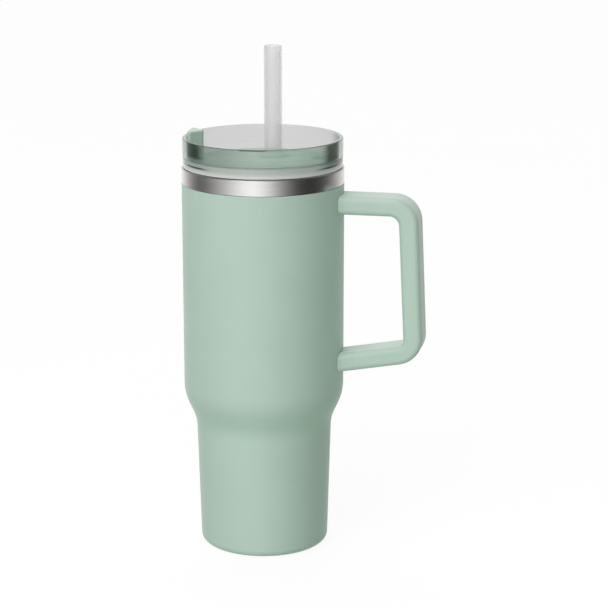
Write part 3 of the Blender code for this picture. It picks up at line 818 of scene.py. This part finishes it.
def section(thick, wide, radius, steps=7, flats=5):
    """A rounded rectangle as (across, y) points. Its flats get inner points,
    and the two that face across dip slightly."""
    corners = []
    for side_x, side_y, start in ((1, 1, 0), (-1, 1, 90), (-1, -1, 180), (1, -1, 270)):
        centre = (side_x * (thick / 2 - radius), side_y * (wide / 2 - radius))
        corners += arc(radius, start, 90, steps, centre)
    points = []
    for i, here in enumerate(corners):
        there = corners[(i + 1) % len(corners)]
        points.append(here)
        if i % (steps + 1) != steps:
            continue
        for k in range(1, flats):
            part = k / flats
            x = here[0] + (there[0] - here[0]) * part
            y = here[1] + (there[1] - here[1]) * part
            if abs(there[0] - here[0]) <= abs(there[1] - here[1]):
                x -= math.copysign(0.16 * math.sin(math.pi * part), x)
            points.append((x, y))
    return points


def arm_matrix(lower):
    """From the mug's axes to those of a screw well in an arm."""
    if lower:
        return (Matrix.Translation(mm(WELL_X, 0, lower_mid_z(WELL_X)))
                @ Matrix.Rotation(-TILT, 4, 'Y'))
    return Matrix.Translation(mm(WELL_X, 0, UPPER_MID_Z))


def handle():
    rise = ARM_T / 2 / math.cos(TILT)
    upper_out, upper_in = UPPER_MID_Z + ARM_T / 2, UPPER_MID_Z - ARM_T / 2
    outer = rail([(ARM_ROOT_X, upper_out), (BAR_OUT_TOP, upper_out),
                  (BAR_OUT_LOW, lower_mid_z(BAR_OUT_LOW) - rise),
                  (ARM_ROOT_X, lower_mid_z(ARM_ROOT_X) - rise)], radii=(17.0, 17.0))
    inner = rail([(ARM_ROOT_X, upper_in), (BAR_IN_TOP, upper_in),
                  (BAR_IN_LOW, lower_mid_z(BAR_IN_LOW) + rise),
                  (ARM_ROOT_X, lower_mid_z(ARM_ROOT_X) + rise)], radii=(6.0, 4.0))
    build = bmesh.new()
    loops = []
    for i, (out_point, in_point) in enumerate(zip(outer, inner)):
        across = out_point - in_point
        thick = across.length
        across.normalize()
        middle = (out_point + in_point) / 2
        loop = []
        for distance, y in section(thick, HANDLE_W, HANDLE_EDGE):
            point = middle + across * distance
            x = point.x
            if i in (0, len(outer) - 1):
                # the arm's end is finished to the body's round wall
                x = math.sqrt((BODY_R + 0.08) ** 2 - y * y)
                slope = SLOPE if i else 0.0
                point = Vector((x, point.y + (x - middle.x) * slope))
            loop.append(build.verts.new(mm(x, y, point.y)))
        loops.append(loop)
    for first, second in zip(loops, loops[1:]):
        for k in range(len(first)):
            m = (k + 1) % len(first)
            build.faces.new((first[k], first[m], second[m], second[k]))
    build.faces.new(loops[0])
    build.faces.new(list(reversed(loops[-1])))
    bmesh.ops.recalc_face_normals(build, faces=build.faces)
    grip = new_object("sage_handle", build)
    for lower in (False, True):
        well = lathe("well", outline([(0, -4.62), (3.75, -4.62), (3.75, -9.0), (0, -9.0)],
                                     closed=False), 48, closed=False)
        well.matrix_world = arm_matrix(lower)
        cut(grip, well)
    dress(grip, GRIP, "mug", "handle_grip", sharp=40.0)


def screw_plug(lower, end):
    """The small cap in a screw well, on an arm's underside."""
    plug = lathe(end + "_plug", outline([(0, -4.7), (3.45, -4.7, 0.15), (3.45, -5.62, 0.4),
                                         (2.0, -5.70, 0.2), (1.7, -5.45, 0.2), (0, -5.45)],
                                        closed=False), 64, closed=False)
    plug.data.transform(arm_matrix(lower))
    dress(plug, PLUG, "mug", end + "_screw_plug")


handle()
screw_plug(False, "upper")
screw_plug(True, "lower")


# --------------------------------------------------------------------- lid
def lid_zone(r, z):
    """A lid face's material number: 0 wall, 1 flange, 2 inside."""
    if r > LID_BORE_R - 0.6 and z > FLANGE_Z1 + 0.2:
        return 0
    if LID_BORE_R - 0.3 < r < LID_BORE_R + 0.3 and z > LEDGE_Z + 0.2:
        return 0
    if r >= LID_BORE_R + 0.3 and z > FLANGE_Z0 - 0.5:
        return 1
    return 2


def clear_lid():
    groove_z0 = PLUG_Z0 + 3.3
    groove_z1 = groove_z0 + 4.6
    line = outline([
        (LID_BORE_R, LID_Z, 0.9), (LID_R, LID_Z, 0.9), (LID_R, FLANGE_Z1 + 1.0, 0.35),
        (LID_R - 0.65, FLANGE_Z1 + 0.75, 0.2), (LID_R - 0.65, FLANGE_Z1 + 0.25, 0.2),
        (FLANGE_R, FLANGE_Z1, 0.4), (FLANGE_R, FLANGE_Z0, 0.35), (PLUG_R, FLANGE_Z0, 0.4),
        (PLUG_R, groove_z1, 0.15), (PLUG_R - 1.6, groove_z1, 0.2),
        (PLUG_R - 1.6, groove_z0, 0.2), (PLUG_R, groove_z0, 0.15), (PLUG_R, PLUG_Z0, 0.9),
        (PLUG_BORE_R, PLUG_Z0, 0.9), (PLUG_BORE_R, FLOOR_Z0, 0.6), (4.2, FLOOR_Z0, 0.2),
        (4.2, FLOOR_Z1, 0.2), (RECESS_R, FLOOR_Z1, 0.4), (RECESS_R, LEDGE_Z, 0.3),
        (LID_BORE_R, LEDGE_Z, 0.5)], step=18.0)
    lid = lathe("clear_lid", divided(line, 5.0, closed=True))
    # the openings through the floor
    low, high = 234.0, 240.0
    slot = curved_slot(math.hypot(STRAW_X, STRAW_Y), half=7.6, start=84.6, end=204.6)
    cut(lid, prism("straw_slot", slot, low, high))
    cut(lid, prism("floor_port", sector(PORT_R0, PORT_R1, 80.0, 100.0), low, high))
    cut(lid, lathe("vent", [(0, high), (1.2, high), (1.2, low), (0, low)], 32, (0.0, -34.0),
                   closed=False))
    finish(lid, [WALL_CLEAR, FLANGE_CLEAR, INNER_CLEAR], 40.0)
    for face in lid.data.polygons:
        middle = face.center / MM
        face.material_index = lid_zone(math.hypot(middle.x, middle.y), middle.z)
    carry(lid, "lid", "lid_body")


clear_lid()
GASKET_Z = (gasket_low[2] + gasket_high[2]) / 2
GASKET_R0 = PLUG_R - 1.25
turned("ribbed_gasket", [
    (GASKET_R0, GASKET_Z + 1.9, 0.2), (44.1, GASKET_Z + 1.9, 0.3), (45.1, GASKET_Z + 1.3, 0.25),
    (44.1, GASKET_Z + 0.5, 0.25), (44.1, GASKET_Z - 0.4, 0.25), (45.1, GASKET_Z - 1.2, 0.25),
    (44.1, GASKET_Z - 1.9, 0.3), (GASKET_R0, GASKET_Z - 1.9, 0.2)],
    160, SILICONE, "lid", "lid_gasket", step=20.0)


# ------------------------------------------------------------------- cover
def cover_tab():
    """The raised wedge at the cover's -X side, with its top edges rounded."""
    start, end = TAB_ANGLE - TAB_HALF, TAB_ANGLE + TAB_HALF
    wedge = [(*polar(TAB_R1, start), 2.2)]
    wedge += arc(TAB_R1, start + 4, (end - 4) - (start + 4), 8)
    wedge += [(*polar(TAB_R1, end), 2.2), (*polar(TAB_R0, TAB_ANGLE + TAB_NOSE), 1.5),
              (*polar(TAB_R0, TAB_ANGLE - TAB_NOSE), 1.5)]
    tab = prism("tab", outline(wedge, step=8.0), COVER_RIM_Z0 + 0.3, TAB_Z)
    build = bmesh.new()
    build.from_mesh(tab.data)
    top = [e for e in build.edges if all(abs(v.co.z - TAB_Z * MM) < 1e-7 for v in e.verts)]
    bmesh.ops.bevel(build, geom=top, offset=1.5 * MM, segments=6, profile=0.5, affect='EDGES',
                    clamp_overlap=True)
    build.to_mesh(tab.data)
    build.free()
    return tab


def sage_cover():
    line = outline([
        (COVER_R, COVER_Z1, 0.45), (COVER_R, COVER_RIM_Z0, 0.25),
        (RECESS_R - 0.4, COVER_RIM_Z0, 0.2), (RECESS_R - 0.4, COVER_Z0, 0.4),
        (4.0, COVER_Z0, 0.2), (4.0, PIN_SEAT, 0.1), (7.8, PIN_SEAT, 0.1), (7.8, COVER_Z1, 0.25),
        (42.6, COVER_Z1, 0.3), (43.0, COVER_Z1 - 0.28, 0.2), (43.9, COVER_Z1 - 0.28, 0.2),
        (44.3, COVER_Z1, 0.3)], step=18.0)
    cover = lathe("sage_cover", divided(line, 6.0, closed=True))
    cut(cover, cover_tab(), 'UNION')
    low, high = COVER_Z0 - 1, COVER_Z1 + 1
    cut(cover, lathe("hole", outline([(0, high), (8.0, high), (8.0, low), (0, low)],
                                     closed=False), 64, STRAW_AT, closed=False))
    cut(cover, prism("cover_port", sector(PORT_R0, PORT_R1, 20.0, 40.0), low, high))
    dress(cover, COVER, "cover", "rotating_cover", sharp=38.0)


def flat_seal():
    outside, low, high = seal_high[0], seal_low[2], seal_high[2]
    seal = lathe("flat_seal", outline([(outside, high, 0.3), (outside, low, 0.3),
                                       (31.0, low, 0.3), (31.0, high, 0.3)], step=20.0), 128)
    cut(seal, prism("seal_port", sector(32.2, 39.0, 19.0, 41.0), low - 1, high + 1))
    dress(seal, SILICONE, "cover", "cover_seal", sharp=50.0)


sage_cover()
flat_seal()
turned("straw_sleeve", [
    (9.6, COVER_Z1 + 1.3, 0.5), (9.6, COVER_Z1 + 0.35, 0.3), (7.7, COVER_Z1 + 0.35, 0.1),
    (7.7, COVER_Z0 - 0.35, 0.1), (9.4, COVER_Z0 - 0.35, 0.2), (9.4, FLOOR_Z1 + 0.4, 0.3),
    (7.0, FLOOR_Z1 + 0.4, 0.2), (6.7, FLOOR_Z0 - 1.4, 0.3), (5.85, FLOOR_Z0 - 1.4, 0.2),
    (5.85, COVER_Z1 + 2.3, 0.25), (6.6, COVER_Z1 + 2.3, 0.3), (7.0, COVER_Z1 + 1.3, 0.5)],
    80, SLEEVE, "cover", "straw_grommet", at=STRAW_AT, step=18.0)
turned("pivot_stem", [
    (0.0, PIN_SEAT + 1.0), (6.6, PIN_SEAT + 1.0, 0.2), (6.6, PIN_SEAT + 0.3, 0.2),
    (3.6, PIN_SEAT + 0.3, 0.3), (3.6, FLOOR_Z0 - 1.3, 0.1), (5.3, FLOOR_Z0 - 1.3, 0.2),
    (5.3, FLOOR_Z0 - 2.2, 0.4), (4.2, FLOOR_Z0 - 3.4, 0.5), (0.0, FLOOR_Z0 - 3.4)],
    64, PIN_CLEAR, "cover", "pivot_pin", closed=False, step=15.0)
turned("pivot_ring", [
    (8.0, FLOOR_Z0 - 0.3, 0.2), (8.0, FLOOR_Z0 - 1.0, 0.2), (3.95, FLOOR_Z0 - 1.0, 0.2),
    (3.95, FLOOR_Z0 - 0.3, 0.2)],
    64, SILICONE, "cover", "pivot_washer", step=20.0)
turned("pivot_button", [
    (0.0, cap_high[2]), (5.0, cap_high[2] - 0.1, 3.0), (7.4, cap_high[2] - 0.45, 0.3),
    (7.4, cap_low[2], 0.2), (0.0, cap_low[2])],
    80, COVER, "cover", "pivot_cap", closed=False, step=4.0)

# ------------------------------------------------------------------- straw
straw_line = outline([(STRAW_R, STRAW_Z1, 0.45), (STRAW_R, STRAW_Z0, 0.45),
                      (STRAW_BORE_R, STRAW_Z0, 0.45), (STRAW_BORE_R, STRAW_Z1, 0.45)], step=15.0)
straw = lathe("drinking_straw", divided(straw_line, 12.0, closed=True), 72, STRAW_AT)
dress(straw, STRAW_CLEAR, "straw", "straw", sharp=50.0)

# ----------------------------------------- pieces that keep their CAD mesh
KEPT = {"radiation_foil": FOIL, "base_disc": VESSEL, "vacuum_getter": GETTER,
        "vacuum_seal": SOLDER, "handle_frame": STRAP, "upper_handle_bracket": STRAP,
        "lower_handle_bracket": STRAP, "upper_handle_screw": STRAP, "lower_handle_screw": STRAP}
for node_name, kept_material in KEPT.items():
    for material_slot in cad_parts[node_name].material_slots:
        material_slot.material = kept_material


# ---------------------------------------------------------- floor and room
def pale_floor():
    """Near white to the camera; what it throws on to the mug is weaker."""
    tree = Shader("pale_floor")
    tree.nodes.remove(tree.bsdf)
    seen = tree.node("ShaderNodeLightPath").outputs["Is Camera Ray"]
    glow = tree.lobe("Emission", tree.mix(seen, (0.345, 0.45, 0.375), (0.90, 0.90, 0.90)),
                     strength=1.0)
    cloud = tree.noise(tree.place(), scale=3.0, detail=2.0)
    matt = tree.lobe("BsdfDiffuse", tree.mix(cloud, (0.10, 0.10, 0.10), (0.11, 0.11, 0.11)))
    both = tree.node("ShaderNodeAddShader")
    tree.put(glow, both.inputs[0])
    tree.put(matt, both.inputs[1])
    tree.put(both.outputs[0], tree.out.inputs[0])
    return tree.material


grid = bmesh.new()
bmesh.ops.create_grid(grid, x_segments=2, y_segments=2, size=30.0)
floor = new_object("floor", grid)
floor.location.z = -0.0002
floor.data.materials.append(pale_floor())
floor.visible_glossy = False

CAMERA_AZIMUTH = 11.5                 # degrees from -Y towards +X
# The room's brightness by direction from the mug, as (degrees to the right of
# the camera, brightness): bright at the front left and behind, dark at the sides
ROOM = [(-180, 1.30), (-150, 1.45), (-125, 0.60), (-100, 0.03), (-70, 0.50), (-45, 1.13),
        (-22, 1.91), (0, 1.77), (22, 0.58), (50, 0.0), (85, 0.08), (110, 0.15), (140, 1.15),
        (180, 1.30)]
PEAK = 2.5                            # scales ROOM, as a ramp holds no more than 1
TOP_LIGHT = 0.0                       # extra brightness overhead
SEEN_WHITE = 1.02                     # the background that the camera sees


def studio():
    world = bpy.data.worlds.new("studio")
    bpy.context.scene.world = world
    world.use_nodes = True
    tree = Tree(world.node_tree)
    tree.nodes.clear()

    def maths(operation, a, b=0.0):
        return tree.maths(operation, a, b, c=None)

    x, y, z = tree.axes(tree.node("ShaderNodeTexCoord").outputs["Generated"])
    compass = maths('ARCTAN2', x, maths('MULTIPLY', y, -1.0))
    turn = maths('DIVIDE', maths('SUBTRACT', compass, math.radians(CAMERA_AZIMUTH)), math.tau)
    turn = maths('FRACT', maths('ADD', turn, 0.5))
    around = tree.ramp(turn, [((angle + 180) / 360, (level / PEAK,) * 3)
                              for angle, level in ROOM], 'B_SPLINE')
    sky = maths('POWER', maths('MAXIMUM', z, 0.0), 1.5)
    lift = maths('MULTIPLY', sky, TOP_LIGHT)
    room = maths('ADD', maths('MULTIPLY', around, PEAK), lift)
    lit = tree.lobe("Background", (1.0, 0.995, 0.99), strength=room)
    white = tree.lobe("Background", (1.0, 1.0, 1.0), strength=SEEN_WHITE)
    seen = tree.node("ShaderNodeLightPath").outputs["Is Camera Ray"]
    out = tree.node("ShaderNodeOutputWorld")
    tree.put(tree.mix_shaders(seen, lit, white), out.inputs[0])
    world.cycles.sampling_method = 'MANUAL'
    world.cycles.sample_map_resolution = 512


studio()


# ------------------------------------------------------- lights and camera
def place_facing(name, data, azimuth, elevation, target, distance):
    """An object that looks at the target from a direction given in degrees."""
    around, up = math.radians(azimuth), math.radians(elevation)
    back = Vector((math.sin(around) * math.cos(up), -math.cos(around) * math.cos(up),
                   math.sin(up)))
    obj = bpy.data.objects.new(name, data)
    bpy.context.scene.collection.objects.link(obj)
    obj.location = target + back * distance
    obj.rotation_mode = 'QUATERNION'
    obj.rotation_quaternion = (-back).to_track_quat('-Z', 'Y')
    return obj


def softbox(name, azimuth, elevation, distance, size, power, colour=(1, 1, 1)):
    """A square lamp that faces the mug, its azimuth to the right of the camera."""
    lamp = bpy.data.lights.new(name, 'AREA')
    lamp.shape, lamp.size, lamp.size_y = 'RECTANGLE', size, size
    lamp.energy, lamp.color = power, colour
    place_facing(name, lamp, CAMERA_AZIMUTH + azimuth, elevation, Vector((0, 0, 0.14)), distance)


softbox("key", azimuth=-30, elevation=35, distance=1.4, size=0.7, power=4.0,
        colour=(1.0, 0.94, 0.985))
softbox("overhead", azimuth=0, elevation=86, distance=1.3, size=0.5, power=1.5)

scene = bpy.context.scene
camera_data = bpy.data.cameras.new("camera")
camera_data.lens = 125.15
camera_data.sensor_width = 36.0
camera_data.clip_start, camera_data.clip_end = 0.05, 100.0
azimuth_angle = math.radians(CAMERA_AZIMUTH)
camera_right = Vector((math.cos(azimuth_angle), math.sin(azimuth_angle), 0.0))
scene.camera = place_facing("camera", camera_data, CAMERA_AZIMUTH, elevation=14.127,
                            target=camera_right * 0.02519 + Vector((0, 0, 0.15339)),
                            distance=1.31806)

scene.view_settings.view_transform = 'Standard'
scene.view_settings.look = 'None'
scene.cycles.transparent_max_bounces = 24
scene.cycles.max_bounces = 12
